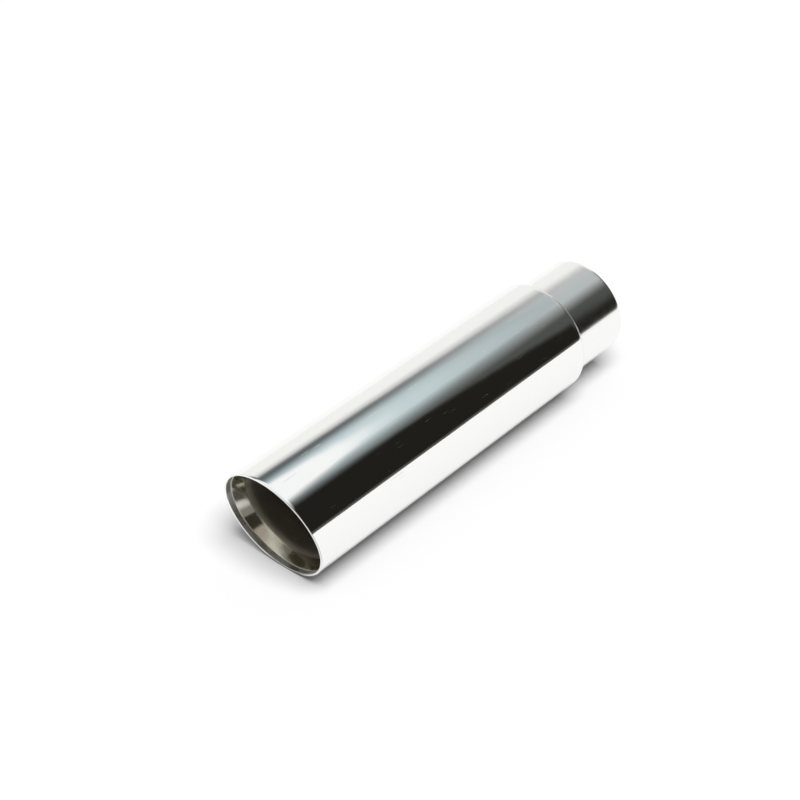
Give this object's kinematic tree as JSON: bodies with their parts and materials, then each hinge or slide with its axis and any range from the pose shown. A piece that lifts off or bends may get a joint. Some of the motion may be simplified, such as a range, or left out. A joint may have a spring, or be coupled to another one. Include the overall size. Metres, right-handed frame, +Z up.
{
  "type": "exhaust tip",
  "caption": "Polished round exhaust tip with an angle-cut mouth, a double wall that meets in a flare behind the rim, and a plain inlet neck that slips over a tail pipe.",
  "frame": {"origin": "centre of the inlet's open end", "axes": "+X along the tube's axis and out of the inlet, with the mouth facing -X; +Z up, towards the long side of the cut"},
  "size_m": [0.3047, 0.0762, 0.0762],
  "materials": {
    "polished_steel": "mirror-polished stainless steel",
    "pipe_steel": "polished stainless steel at the neck and flare, dull inside",
    "weld_steel": "brushed weld bead"
  },
  "bodies": {
    "root": {"outer_sleeve": "polished_steel", "inner_pipe": "pipe_steel", "rear_weld": "weld_steel"}
  },
  "joints": []
}
